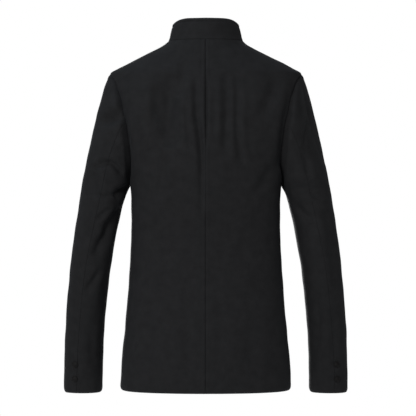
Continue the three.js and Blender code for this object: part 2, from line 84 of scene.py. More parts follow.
# %% [markdown]
# A jacket's shape is set by its sections: how wide and how deep it is at each level. A short table holds
# them, and smooth curves join the rows. The curves never swing past a row, so no bulge appears between.

# %% Curves through the rows of a table
MM = 0.001


def curve(keys, values):
    """A smooth curve through the rows, which goes on straight past both ends."""
    keys, values = np.array(keys, float), np.array(values, float)
    step = np.diff(keys)
    rise = np.diff(values) / step
    slope = np.concatenate([rise[:1], np.zeros(len(rise) - 1), rise[-1:]])
    for i in range(1, len(rise)):
        if rise[i - 1] * rise[i] > 0:
            before = step[i - 1] + 2 * step[i]
            after = 2 * step[i - 1] + step[i]
            slope[i] = (before + after) / (before / rise[i - 1] + after / rise[i])

    def value(at):
        at = np.asarray(at, float)
        i = np.clip(np.searchsorted(keys, at, side="right") - 1, 0, len(step) - 1)
        t = np.clip((at - keys[i]) / step[i], 0, 1)
        level = values[i] * (1 - t) ** 2 * (1 + 2 * t) + values[i + 1] * t**2 * (3 - 2 * t)
        bend = step[i] * (slope[i] * t * (1 - t) ** 2 + slope[i + 1] * t**2 * (t - 1))
        before = slope[0] * np.minimum(at - keys[0], 0)
        return level + bend + before + slope[-1] * np.maximum(at - keys[-1], 0)

    return value


def table(columns, rows):
    keys = [row[0] for row in rows]
    curves = {name: curve(keys, [row[k + 1] for row in rows]) for k, name in enumerate(columns[1:])}
    return lambda at: SimpleNamespace(**{name: value(at) for name, value in curves.items()})


# %% The body's sections, in millimetres down from the collar seam
section = table(["drop", "half", "back", "front", "ridge", "back_power", "front_power"], [
    [0, 77, 62, 16, 5, 1, 1],
    [8.6, 87, 64.9, 29.6, 5, 0.98, 1],
    [15, 98.5, 67, 36.9, 5, 0.97, 1],
    [30, 128, 72, 46.1, 5, 0.93, 1],
    [40, 148, 76, 53, 5, 0.9, 1],
    [51, 169.3, 80.4, 61, 5, 0.87, 1],
    [58, 182.7, 83.2, 66, 5, 0.85, 1],
    [69, 200, 87.6, 70.5, 5, 0.82, 0.96],
    [80, 201, 90.6, 75, 5, 0.8, 0.92],
    [109, 208, 98, 87, 5, 0.76, 0.85],
    [142, 209.5, 105, 98, 5, 0.72, 0.8],
    [178, 199, 110, 106, 5, 0.68, 0.75],
    [223, 179, 114, 112, 3, 0.65, 0.7],
    [267, 163, 115, 114, 2, 0.63, 0.67],
    [300, 157, 114, 113, 0, 0.62, 0.65],
    [332, 155, 111, 110, 0, 0.62, 0.65],
    [374, 154.6, 105, 106, 0, 0.62, 0.65],
    [416, 155.6, 100, 103, 0, 0.62, 0.65],
    [479, 158.6, 102, 104, 0, 0.62, 0.65],
    [542, 163.3, 108, 107, 0, 0.62, 0.65],
    [600, 168.4, 114, 110, 0, 0.62, 0.65],
    [668, 174.8, 118, 113, 0, 0.62, 0.65],
    [727, 178.2, 119, 115, 0, 0.62, 0.65],
])
BACK_LENGTH = 727


def points(x, y, z):
    return np.stack(np.broadcast_arrays(x, y, z), axis=-1).astype(float)


def unit(vectors):
    return vectors / np.linalg.norm(vectors, axis=-1, keepdims=True)


def on_body(turn, drop):
    """The point at this turn from the centre back, in radians, and this far down."""
    s = section(drop)
    lean = np.cos(turn)
    behind = s.ridge + (s.back - s.ridge) * np.maximum(lean, 0) ** s.back_power
    ahead = s.ridge - (s.front + s.ridge) * np.maximum(-lean, 0) ** s.front_power
    return points(s.half * np.sin(turn), np.where(lean >= 0, behind, ahead), -np.asarray(drop))


def turn_at(place):
    """The turn of a point that lies on the body or near it."""
    x, y, drop = place[..., 0], place[..., 1], -place[..., 2]
    s = section(drop)
    behind = np.maximum((y - s.ridge) / (s.back - s.ridge), 0) ** (1 / s.back_power)
    ahead = np.maximum((s.ridge - y) / (s.front + s.ridge), 0) ** (1 / s.front_power)
    return np.arctan2(x / s.half, behind - ahead)


def to_body(place):
    return on_body(turn_at(place), -place[..., 2])


def body_normal(place):
    turn, drop = turn_at(place), -place[..., 2]
    across = on_body(turn + 0.01, drop) - on_body(turn - 0.01, drop)
    down = on_body(turn, drop + 0.5) - on_body(turn, drop - 0.5)
    return unit(np.cross(across, down))


print("half width under the arm:", round(float(section(300).half), 1), "mm")

# %% [markdown]
# The sleeve is a bent tube that starts as the armhole. Each row of its table is one ring: its outer and
# inner points, how deep it is, and where the seam behind the arm crosses it. The first rings change
# slowly from the armhole's own outline into a plain oval, as a set-in sleeve does over the shoulder.

# %% The armhole and the sleeve's rings
sleeve = table(["ring", "outer_x", "outer_drop", "inner_x", "inner_drop", "depth", "middle", "hind"], [
    [0, 200, 69, 157, 300, 72, 3, 85],
    [1, 211, 95, 160.5, 305, 71, 3, 86],
    [2, 223, 138, 165, 313, 68.5, 3, 87],
    [3, 234, 184, 168.5, 321.5, 66, 3, 88],
    [4, 243.9, 228, 171.4, 331, 64, 2, 89],
    [5, 252.9, 273, 174.9, 342, 62.5, 2, 90],
    [6, 260.9, 316, 179.5, 359, 62, 1, 90],
    [7, 268.2, 362, 186, 388, 60, 0, 88],
    [8, 275.1, 408, 193.1, 426, 57.5, -1, 85],
    [9, 281.5, 456, 200.4, 468, 55, -4, 82],
    [10, 286.9, 503.4, 206.4, 512.5, 53, -10, 80],
    [11, 291.6, 551, 211, 557, 51, -17, 79],
    [12, 295, 598.7, 215.4, 601.7, 49, -24, 78],
    [13, 297.4, 646.5, 218.2, 647.5, 47, -30, 76],
    [14, 299.1, 693.3, 219.5, 693.3, 46, -35, 75],
    [15, 299.9, 738.2, 220.3, 738.2, 45, -39, 74],
])
FORE_SEAM = 235
ARMHOLE_MIDDLE, ARMHOLE_HALF = 184.5, 115.5
BLADE_REACH, CHEST_REACH = 70, 74
ARMHOLE_BLEND = 5
SLEEVE_FLATNESS = 0.72
LAST_RING = 15


def armhole(degrees):
    """The armhole's seam on the body: 0 is the shoulder, 90 the back and 180 the underarm."""
    angle = np.radians(degrees)
    drop = ARMHOLE_MIDDLE - ARMHOLE_HALF * np.cos(angle)
    s = section(drop)
    behind = np.sin(angle) >= 0
    y = s.ridge + np.where(behind, BLADE_REACH, CHEST_REACH) * np.sin(angle)
    reach = np.where(behind, (y - s.ridge) / (s.back - s.ridge), (s.ridge - y) / (s.front + s.ridge))
    lean = np.maximum(reach, 0) ** (1 / np.where(behind, s.back_power, s.front_power))
    return points(s.half * np.sqrt(1 - lean**2), y, -drop)


def oval(ring, degrees):
    s, angle = sleeve(ring), np.radians(degrees)
    x = (s.outer_x + s.inner_x) / 2 + (s.outer_x - s.inner_x) / 2 * np.cos(angle)
    z = -(s.outer_drop + s.inner_drop) / 2 + (s.inner_drop - s.outer_drop) / 2 * np.cos(angle)
    bulge = np.sign(np.sin(angle)) * np.abs(np.sin(angle)) ** SLEEVE_FLATNESS
    return points(x, s.middle + s.depth * bulge, z)


def on_sleeve(ring, degrees):
    blend = np.maximum(0, 1 - np.asarray(ring) / ARMHOLE_BLEND)[..., None] ** 2
    start = armhole(degrees) - oval(np.zeros_like(np.asarray(degrees, float)), degrees)
    return oval(ring, degrees) + start * blend


def sleeve_normal(ring, degrees):
    ring, degrees = np.broadcast_arrays(np.asarray(ring, float), np.asarray(degrees, float))
    along = on_sleeve(ring + 0.2, degrees) - on_sleeve(np.maximum(0, ring - 0.2), degrees)
    around = on_sleeve(ring, degrees + 1) - on_sleeve(ring, degrees - 1)
    return unit(np.cross(along, around))


print("cuff depth:", 2 * float(sleeve(LAST_RING).depth), "mm")

# %% [markdown]
# The collar is a band that stands on the neckline. It leans in quickly at its foot and then rises almost
# straight, and its ends meet at the centre front.

# %% The neckline and the collar's surface
collar_lean = curve([0, 0.1, 0.24, 0.41, 0.56, 0.71, 0.87, 1], [0, 0.15, 0.31, 0.42, 0.54, 0.68, 0.86, 1])
NECK_HALF = 77
FRONT_NECK_DROP = 58
TOP_HALF = 67
SIDE_HEIGHT, EXTRA_BEHIND, FRONT_FALL = 36, 8.7, 56


def ease(t):
    """Goes from 0 to 1 with a level start and a level end."""
    return t * t * (3 - 2 * t)


def neckline(degrees):
    angle = np.radians(degrees)
    ahead = np.maximum(-np.cos(angle), 0)
    drop = FRONT_NECK_DROP * ahead**1.5
    x = NECK_HALF * np.sin(angle)
    front_turn = math.pi - np.arcsin(np.minimum(1, x / section(drop).half))
    return np.where((ahead > 0)[..., None], on_body(front_turn, drop), on_body(angle, drop))


def on_collar(degrees, height):
    degrees, height = np.broadcast_arrays(np.asarray(degrees, float), np.asarray(height, float))
    foot = neckline(np.abs(degrees))
    foot[..., 0] *= np.sign(degrees) + (degrees == 0)
    cosine = np.cos(np.radians(degrees))
    behind = ease(np.clip((cosine - 0.1) / 0.75, 0, 1))
    rise = SIDE_HEIGHT + EXTRA_BEHIND * behind - FRONT_FALL * np.maximum(-cosine, 0) ** 1.5
    top = points(TOP_HALF * np.sin(np.radians(degrees)), 5 + np.where(cosine > 0, 50, 65) * cosine, rise)
    lean = collar_lean(height)[..., None]
    place = foot + (top - foot) * lean
    place[..., 2] = foot[..., 2] + (top[..., 2] - foot[..., 2]) * height
    return place


def collar_normal(degrees, height):
    around = on_collar(degrees + 0.5, height) - on_collar(degrees - 0.5, height)
    above, below = np.minimum(1, height + 0.05), np.maximum(0, height - 0.05)
    up = on_collar(degrees, above) - on_collar(degrees, below)
    return unit(np.cross(up, around))


# %% [markdown]
# Where two pieces are sewn at an angle, both layers of cloth end on the plane midway between them. That
# plane is found from the two surfaces' directions, and the wall reaches a little further along it. Round
# the arm the seam also sinks into a soft valley, and the cloth turns in to it with a sharp line.


# %% Seams between two surfaces
LONGEST_REACH = 2.2
VALLEY_DEPTH, GROOVE_DEPTH = 8.5, 2.2


def bell(distance, width):
    """1 on a line, and soon 0 on both sides of it."""
    return np.exp(-((distance / width) ** 2))


def mitre(first, second):
    normal = unit(first + second)
    reach = np.minimum(LONGEST_REACH, 1 / np.sum(normal * first, axis=-1))
    return normal, reach


def armhole_seam(degrees):
    place = armhole(degrees)
    normal, reach = mitre(body_normal(place), sleeve_normal(np.zeros_like(degrees), degrees))
    return place, normal, reach


def armhole_depths(degrees):
    """How deep the valley and the sharp line in it are, in millimetres, round the armhole."""
    down = 180 - np.abs(180 - np.mod(degrees, 360))
    rise = ease(np.clip((down - 4) / 76, 0, 1))
    fall = np.clip((180 - down) / 22, 0, 1)
    return VALLEY_DEPTH * rise * ease(fall), GROOVE_DEPTH * np.clip(down / 10, 0, 1) * fall


def towards(normal, seam_normal, distance, width):
    """Turns a surface's directions into those of its seam, over the last few millimetres."""
    share = bell(distance, width)[..., None]
    return unit(normal * (1 - share) + seam_normal * share)


def neck_seam(degrees):
    place = neckline(degrees)
    normal, reach = mitre(body_normal(place), collar_normal(degrees, np.zeros_like(degrees)))
    return place, normal, reach


# %% [markdown]
# Cloth is never smooth. The back hangs from the shoulder blades in shallow upright troughs, the sleeves
# buckle at the armhole and the elbow, and each crease pushes up a soft crest on either side. They are
# placed one by one, each with its own course, depth and width, and they run out softly at both ends.

# %% Creases: the depth, the width and the course as x and the drop, in millimetres
CREASES = {
    "back_left": [
        (5.6, 8.5,
         [(21, 84), (20, 124), (19, 155), (15, 183), (11, 216), (8, 255), (8, 304), (7, 363)]),
        (3.8, 13, [(47, 50), (48, 87), (53, 124)]),
        (14.0, 27, [(69, 76), (77, 122), (79, 155), (73, 228)]),
        (3.6, 12, [(104, 98), (104, 135), (98, 172)]),
        (2.2, 12, [(79, 215), (81, 257), (89, 292), (98, 330)]),
        (2.4, 12, [(153, 271), (132, 300), (104, 330)]),
        (2.0, 7, [(40, 122), (38, 173), (32, 236)]),
        (1.6, 16, [(128, 330), (104, 400), (72, 470)]),
        (1.4, 14, [(36, 540), (40, 630), (30, 722)]),
        (1.2, 18, [(112, 540), (118, 640), (110, 722)]),
    ],
    "back_right": [
        (2.4, 3.6, [(2.5, 70), (2.5, 115), (2.5, 160), (2, 225)]),
        (5.8, 12.5, [(41, 70), (43, 115), (43, 155), (42, 194), (40, 245)]),
        (4.7, 10, [(61, 72), (64, 130), (64, 180), (67, 218), (74, 262)]),
        (5.2, 16, [(147, 70), (139, 105), (127, 134), (118, 172)]),
        (3.2, 13, [(152, 247), (131, 275), (111, 308), (84, 338)]),
        (1.3, 7, [(18, 98), (19, 149), (17, 216)]),
        (1.1, 9, [(84, 158), (88, 210), (100, 256)]),
        (1.3, 13, [(22, 480), (30, 590), (26, 700)]),
        (1.4, 17, [(98, 520), (96, 640), (104, 722)]),
        (8.0, 13, [(180, 110), (169, 160), (160, 215), (155, 270)]),
    ],
    "front_left": [
        (4.4, 12, [(72, 90), (104, 150), (118, 250)]),
        (2.6, 8, [(48, 105), (58, 190), (54, 285)]),
        (3.0, 9, [(126, 92), (134, 130), (132, 172)]),
        (2.8, 13, [(150, 262), (120, 300), (92, 332)]),
        (1.6, 15, [(130, 345), (100, 412), (74, 480)]),
        (1.4, 15, [(80, 550), (86, 640), (78, 722)]),
    ],
    "front_right": [
        (4.0, 12, [(66, 90), (98, 158), (120, 240)]),
        (2.4, 9, [(44, 135), (50, 230), (46, 335)]),
        (3.2, 9, [(130, 86), (138, 126), (130, 168)]),
        (3.0, 13, [(152, 255), (126, 292), (96, 326)]),
        (1.8, 15, [(134, 345), (106, 420), (70, 490)]),
        (1.3, 15, [(96, 560), (100, 650), (92, 722)]),
    ],
    "sleeve_left": [
        (10.0, 15, [(222, 178), (207, 170), (190, 163), (168, 152)]),
        (2.6, 4, [(183, 227), (174, 220), (164, 212)]),
        (6.6, 8, [(232, 272), (221, 261), (209, 256), (198, 255), (186, 262), (172, 280)]),
        (9.5, 9, [(191, 326), (179, 316), (168, 310), (156, 304)]),
        (5.6, 14, [(236, 270), (231, 299), (225, 328)]),
        (2.8, 6, [(227, 318), (211, 325), (192, 324)]),
        (10.5, 11.5, [(176, 346), (191, 372), (201, 388), (206, 405), (217, 421), (230, 450)]),
        (3.6, 6.5, [(229, 376), (213, 362), (194, 348)]),
        (4.4, 8, [(218, 474), (231, 498), (242, 512), (250, 530)]),
        (2.2, 8, [(208, 480), (213, 519), (217, 560)]),
        (1.6, 9, [(236, 590), (240, 640), (236, 690)]),
    ],
    "sleeve_right": [
        (6.4, 12, [(178, 316), (197, 309), (214, 312), (230, 312), (250, 300)]),
        (2.8, 7, [(216, 316), (226, 326), (242, 331)]),
        (3.6, 10, [(214, 292), (210, 262), (201, 234)]),
        (4.6, 12, [(246, 350), (257, 398), (265, 448), (270, 510)]),
        (4.2, 9, [(185, 338), (203, 361), (224, 374)]),
        (3.0, 7, [(217, 166), (207, 198), (205, 228)]),
        (12.0, 38, [(222, 40), (226, 120), (230, 190), (236, 262)]),
        (2.0, 9, [(228, 520), (236, 590), (232, 650)]),
        (1.8, 10, [(262, 540), (268, 610), (266, 690)]),
    ],
}
COURSE_STEPS = 24


def lengths(place, axis):
    """How far along its row or column each point of a grid lies."""
    steps = np.linalg.norm(np.diff(place, axis=axis), axis=-1)
    start = np.zeros_like(np.take(steps, [0], axis=axis))
    return np.concatenate([start, np.cumsum(steps, axis=axis)], axis=axis)


def crease_lift(piece, x, z):
    """How far the creases of a piece move its points out, or in where it is less than 0."""
    lift = np.zeros_like(x)
    for depth, width, course in CREASES[piece]:
        course = np.array(course, float) * [1, -1]
        keys = lengths(course, 0)
        marks = np.linspace(0, keys[-1], COURSE_STEPS + 1)
        line = np.stack([curve(keys, course[:, 0])(marks), curve(keys, course[:, 1])(marks)], axis=1)
        nearest = np.full_like(x, 1e9)
        share = np.zeros_like(x)
        for k in range(COURSE_STEPS):
            run = line[k + 1] - line[k]
            along = ((x - line[k, 0]) * run[0] + (z - line[k, 1]) * run[1]) / (run @ run)
            along = np.clip(along, 0, 1)
            distance = np.hypot(x - line[k, 0] - along * run[0], z - line[k, 1] - along * run[1])
            share = np.where(distance < nearest, (k + along) / COURSE_STEPS, share)
            nearest = np.minimum(nearest, distance)
        q = (nearest / width) ** 2
        lift -= depth * np.sin(np.pi * np.clip(share, 0, 1)) ** 0.6 * (1 - 0.9 * q) * np.exp(-0.8 * q)
    return lift


DRIFT_HEIGHT, DRIFT_LENGTH = 0.17, 1.9
# Each wave's pace across and up, and its shift
DRIFT_WAVES = [
    (0.021, 0.012, 0.0),
    (-0.013, 0.024, 1.7),
    (0.034, -0.009, 3.1),
    (0.009, 0.041, 4.4),
    (-0.045, 0.017, 5.2),
]


def drift(x, z, phase):
    """A slow, shallow unevenness, as in any cloth that has been worn."""
    turns = [2 * np.pi * (a * x + b * z) / DRIFT_LENGTH + shift + phase for a, b, shift in DRIFT_WAVES]
    return sum(DRIFT_HEIGHT * np.sin(turn) for turn in turns)


print("creases:", sum(len(rows) for rows in CREASES.values()))

# %% [markdown]
# Every panel is a closed wall: an outer and an inner face of cloth, joined round the edge. Near the edge
# both faces curve together, so two panels side by side show the thin dark line of a seam. The grid has
# short steps there, and steps of about 3 mm elsewhere. Its UV map is in metres of cloth, for the weave.

# %% A wall of cloth on a grid
EDGE_STEPS = [0, 0.3, 0.7, 1.3, 2.1, 3.2]
STEP = 3.3
EDGE_SHARE = 0.25
RUB_WIDTH = 2.2


def stretch(length, step=STEP):
    """Shares of a length, closer together near both its ends."""
    count = max(2, round((length - 2 * EDGE_STEPS[-1]) / step))
    middle = np.linspace(EDGE_STEPS[-1], length - EDGE_STEPS[-1], count + 1)
    near = np.array(EDGE_STEPS[:-1])
    return np.concatenate([near, middle, (length - near)[::-1]]) / length


def edge_distance(place):
    across, up = lengths(place, 1), lengths(place, 0)
    return np.minimum(np.minimum(across, across[:, -1:] - across), np.minimum(up, up[-1:] - up))


def wall(name, side, place, normal, reach, lift, half, to_free_edge, roll):
    """The closed wall on grids in millimetres, mirrored to the right where side is -1."""
    place, normal = place * [side, 1, 1], normal * [side, 1, 1]
    rows, columns = place.shape[:2]
    near = np.clip(edge_distance(place) / roll, 0, 1)
    rounded = EDGE_SHARE + (1 - EDGE_SHARE) * np.sqrt(1 - (1 - near) ** 2)
    thick = (half * reach * rounded)[..., None]
    middle = place + normal * lift[..., None]
    outer, inner = middle + normal * thick, middle - normal * thick
    corners = np.concatenate([outer.reshape(-1, 3), inner.reshape(-1, 3)])
    count = rows * columns
    index = np.arange(count).reshape(rows, columns)
    quads = np.stack([index[:-1, :-1], index[:-1, 1:], index[1:, 1:], index[1:, :-1]], axis=-1).reshape(-1, 4)
    rim = np.concatenate([index[0, :-1], index[:-1, -1], index[-1, :0:-1], index[:0:-1, 0]])
    after = np.roll(rim, -1)
    band = np.stack([rim, rim + count, after + count, after], axis=-1)
    faces = np.concatenate([quads, quads[:, ::-1] + count, band])
    j, i = rows // 2, columns // 2
    facing = np.cross(place[j, i + 1] - place[j, i], place[j + 1, i] - place[j, i]) @ normal[j, i]
    if facing < 0:
        faces = faces[:, ::-1]
    mesh = bpy.data.meshes.new(name)
    mesh.from_pydata((corners * MM).tolist(), [], faces.tolist())
    cloth = np.stack([lengths(place, 1), lengths(place, 0)], axis=-1).reshape(-1, 2) * MM
    cloth = np.concatenate([cloth, cloth])
    layer = mesh.uv_layers.new(name="cloth")
    loops = np.empty(len(mesh.loops), dtype=np.int32)
    mesh.loops.foreach_get("vertex_index", loops)
    layer.data.foreach_set("uv", cloth[loops].astype(np.float32).ravel())
    rub = np.tile(bell(to_free_edge, RUB_WIDTH).ravel(), 2)
    inside = np.repeat([0.0, 1.0], count)
    for label, values in (("rub", rub), ("inside", inside)):
        mesh.attributes.new(label, "FLOAT", "POINT").data.foreach_set("value", values.astype(np.float32))
    mesh.polygons.foreach_set("use_smooth", np.ones(len(mesh.polygons), dtype=bool))
    mesh.update()
    cells = np.cross(np.diff(place, axis=1)[:-1], np.diff(place, axis=0)[:, :-1])
    area = float(np.linalg.norm(cells, axis=-1).sum()) * MM**2
    print(name, "faces:", len(mesh.polygons), "cloth:", round(area, 4), "m2")
    return add_object(name, mesh)


# %% [markdown]
# A body panel is cut flat, but on the jacket it fills the space between four edges: the hem, the centre,
# the neck and shoulder, and the side seam with the armhole above it. Blending those four edges gives a
# net that follows them, and each point is then pulled onto the body's surface.

# %% Blending four edges into a panel
SIDE_LENGTH = 427
ARMHOLE_LENGTH = 305


def join(*parts, first_step=STEP):
    """The shares of one edge that is made of several parts of these lengths."""
    ends = np.cumsum([0, *parts]) / sum(parts)
    shares = [stretch(parts[0], first_step)] + [stretch(part)[1:] for part in parts[1:]]
    return np.concatenate([low + s * (high - low) for low, high, s in zip(ends, ends[1:], shares)])


def measure(path, count=801):
    """Even steps from 0 to 1, and how far along the path each one lies."""
    fine = np.linspace(0, 1, count)
    return fine, lengths(path(fine), 0)


def along(path, shares):
    """The points of a path at these shares of its length."""
    fine, run = measure(path)
    return path(np.interp(np.asarray(shares) * run[-1], run, fine))


def body_line(turns, drops, shares):
    """A line on the body, whose turn and drop each go from one value to the other."""

    def path(t):
        return on_body(turns[0] + (turns[1] - turns[0]) * t, drops[0] + (drops[1] - drops[0]) * t)

    return along(path, shares)


def blend_edges(bottom, top, left, right, u, v):
    """Fills the space between four edges with a grid, and lays it on the body."""
    u, v = u[None, :, None], v[:, None, None]
    ruled = (1 - v) * bottom[None] + v * top[None] + (1 - u) * left[:, None] + u * right[:, None]
    low = (1 - u) * bottom[0] + u * bottom[-1]
    high = (1 - u) * top[0] + u * top[-1]
    place = to_body(ruled - (1 - v) * low - v * high)
    place[0], place[-1], place[:, 0], place[:, -1] = bottom, top, left, right
    return place


up_shares = join(SIDE_LENGTH, ARMHOLE_LENGTH)
side_rows = len(stretch(SIDE_LENGTH))
print("rows up a panel:", len(up_shares))

# %% [markdown]
# Each panel then settles into its seams. It turns towards the armhole's direction, sinks into the valley
# there, and rolls in at its hem. It creases only away from the seams, where the cloth is free to move.

# %% One panel of the body
SIDE_TURN = math.pi / 2
SHOULDER_DROP = 69
HALF_CLOTH = 1.0
EDGE_ROLL = 1.5
SEAM_ROLL, SEAM_ROLL_WIDTH = 1.9, 8
TURN_WIDTH = 7
GROOVE_WIDTH = 2.4
BODY_VALLEY_WIDTH, BODY_SETTLE_WIDTH = 13, 13
CURL_DEPTH, CURL_LENGTH = 4.6, 10
FAR_FROM_SEAM = 60


def outer_edge(first, last):
    """The side seam from the hem up, then the armhole from the angle first to last."""
    side = body_line((SIDE_TURN, SIDE_TURN), (BACK_LENGTH, BACK_LENGTH - SIDE_LENGTH), stretch(SIDE_LENGTH))
    hole = first + (last - first) * stretch(ARMHOLE_LENGTH)[1:]
    place, normal, reach = armhole_seam(hole)
    return np.concatenate([side, place]), (normal, reach, hole)


def hem_curl(to_edge):
    """A turned-up edge is pressed, so it rolls in a little over its last few millimetres."""
    t = 1 - np.clip(to_edge / CURL_LENGTH, 0, 1)
    return CURL_DEPTH * (1 - np.sqrt(1 - np.minimum(t, 0.999) ** 2))


def body_panel(name, side, place, neck, neck_columns, hole, raise_by):
    normal = body_normal(place)
    reach = np.ones(place.shape[:2])
    hole_normal, hole_reach, hole_degrees = hole
    run, up = lengths(place, 1), lengths(place, 0)
    to_hole, to_top = run[:, -1:] - run, up[-1:] - up
    normal[side_rows:] = towards(normal[side_rows:], hole_normal[:, None], to_hole[side_rows:], TURN_WIDTH)
    normal[-1, neck_columns], reach[-1, neck_columns] = neck
    normal[side_rows:, -1], reach[side_rows:, -1] = hole_normal, hole_reach
    valley, groove = np.zeros((2, len(place)))
    valley[side_rows:], groove[side_rows:] = armhole_depths(hole_degrees)
    x, z = place[..., 0], place[..., 2]
    rows_near_hole = np.arange(len(place))[:, None] >= side_rows - 12
    to_seam = np.where(rows_near_hole, to_hole, FAR_FROM_SEAM)
    settle = 1 - bell(np.minimum(to_seam, to_top), BODY_SETTLE_WIDTH)
    phase = 2.0 * side + (1.1 if "front" in name else 0)
    lift = (crease_lift(name, x, z) + drift(x, z, phase)) * settle + raise_by(x, z)
    lift -= hem_curl(up)
    lift -= valley[:, None] * bell(to_hole, BODY_VALLEY_WIDTH) + groove[:, None] * bell(to_hole, GROOVE_WIDTH)
    roll = EDGE_ROLL + SEAM_ROLL * reach.max(axis=1, keepdims=True) * bell(to_seam, SEAM_ROLL_WIDTH)
    return wall(name + "_cloth", side, place, normal, reach, lift, HALF_CLOTH, up, roll)


# %% [markdown]
# The back has two panels with a seam down the middle. The seam's two allowances are pressed open under
# the cloth, and they print through as a faint flat ridge on either side of the dark line.

# %% The two back panels
NECK_BACK, SHOULDER = 106, 141
NECK_STEP = 1.9
neck_steps = stretch(NECK_BACK, NECK_STEP)
back_shares = join(NECK_BACK, SHOULDER, first_step=NECK_STEP)
shoulder = body_line((SIDE_TURN, SIDE_TURN), (0, SHOULDER_DROP), stretch(SHOULDER))[1:]
# The ridge over the allowances, and the groove past it: the wearer's left one shows more
PRINTS = {"back_left": (0.75, 0.5), "back_right": (0.4, 0.2)}
SEAM_DEPTH, EXTRA_DEPTH, DEEPEST_Z = 0.25, 2.3, -145


def seam_print(name):
    def lift(x, z):
        ridge, groove = PRINTS[name]
        fading = np.clip(1 + z / 450, 0.2, 1)
        seam = SEAM_DEPTH + EXTRA_DEPTH * bell(z - DEEPEST_Z, 75)
        return ridge * bell(x - 3.9, 2.2) - groove * bell(x - 9, 1.6) * fading - seam * bell(x, 2.8)

    return lift


backs = []
for name, side in (("back_left", 1), ("back_right", -1)):
    hem = body_line((0, SIDE_TURN), (BACK_LENGTH, BACK_LENGTH), back_shares)
    neck_place, *neck = neck_seam(90 * neck_steps)
    top = np.concatenate([neck_place, shoulder])
    centre = body_line((0, 0), (BACK_LENGTH, 0), up_shares)
    outer, hole = outer_edge(180, 0)
    place = blend_edges(hem, top, centre, outer, back_shares, up_shares)
    backs.append(body_panel(name, side, place, neck, slice(0, len(neck_steps)), hole, seam_print(name)))

# %% [markdown]
# The fronts go past the centre line by 20 mm each, and the wearer's left one lies on top. So the left is
# lifted off the shared surface and the right is sunk under it, and both come back to it further out.

# %% The two fronts
OVERLAP = 20
NECK_FRONT = 130
LAP_LIFT = 1.5
FRONT_TOP_DROP = 61
front_shares = join(OVERLAP, NECK_FRONT, SHOULDER)
lap_count = len(stretch(OVERLAP))


def in_front(x, drop):
    """The point on the front at this distance to the left of the centre, and this far down."""
    return on_body(math.pi - np.arcsin(x / section(drop).half), drop)


def lap(spread):
    return lambda x, z: spread * (1 - ease(np.clip((x - 22) / 38, 0, 1)))


fronts = []
for name, side in (("front_left", 1), ("front_right", -1)):
    over = -OVERLAP * (1 - stretch(OVERLAP))
    lap_share = front_shares[lap_count - 1]
    rest = (front_shares[lap_count:] - lap_share) / (1 - lap_share)
    hem = np.concatenate([
        in_front(over, np.full_like(over, BACK_LENGTH)),
        body_line((math.pi, SIDE_TURN), (BACK_LENGTH, BACK_LENGTH), rest),
    ])
    neck_place, *neck = neck_seam(180 - 90 * stretch(NECK_FRONT))
    free_top = in_front(over[:-1], FRONT_NECK_DROP + 0.6 + 2.4 * np.minimum(1, -over[:-1] / 10))
    top = np.concatenate([free_top, neck_place, shoulder])
    rise = BACK_LENGTH - FRONT_TOP_DROP
    edge = along(lambda t: in_front(np.full_like(t, -OVERLAP), BACK_LENGTH - rise * t), up_shares)
    outer, hole = outer_edge(180, 360)
    place = blend_edges(hem, top, edge, outer, front_shares, up_shares)
    columns = slice(lap_count - 1, lap_count - 1 + len(neck_place))
    fronts.append(body_panel(name, side, place, neck, columns, hole, lap(LAP_LIFT * side)))

# %% [markdown]
# Each sleeve has an outer and an inner half, joined by a seam behind the arm and one in front of it. The
# head of the sleeve is fuller than the armhole, so it rolls slightly outward just past that seam. Down at
# the cuff the outer half laps over the inner one as a short vent, held by the two buttons.

# %% The four sleeve panels
SLEEVE_VALLEY_WIDTH, SLEEVE_SETTLE_WIDTH = 9.5, 7
HEAD_FULLNESS = 1.1
VENT_LIFT, VENT_RING = 0.35, 12.9


def crown(t):
    """The sleeve's outermost line, from the shoulder to the cuff."""
    return on_sleeve(LAST_RING * t, np.zeros_like(t))


fine, crown_run = measure(crown, 1501)
rings = LAST_RING * np.interp(stretch(crown_run[-1]) * crown_run[-1], crown_run, fine)
hind_seam = sleeve(rings).hind
fore_seam, crown_line, under_line = (np.full_like(hind_seam, angle) for angle in (FORE_SEAM, 360, 180))
# The stretches of each half: the angles at which one starts and ends, and about how wide it is
HALVES = {
    "top": [(fore_seam, crown_line, 130), (crown_line, 360 + hind_seam, 95)],
    "under": [(hind_seam, under_line, 90), (under_line, fore_seam, 58)],
}


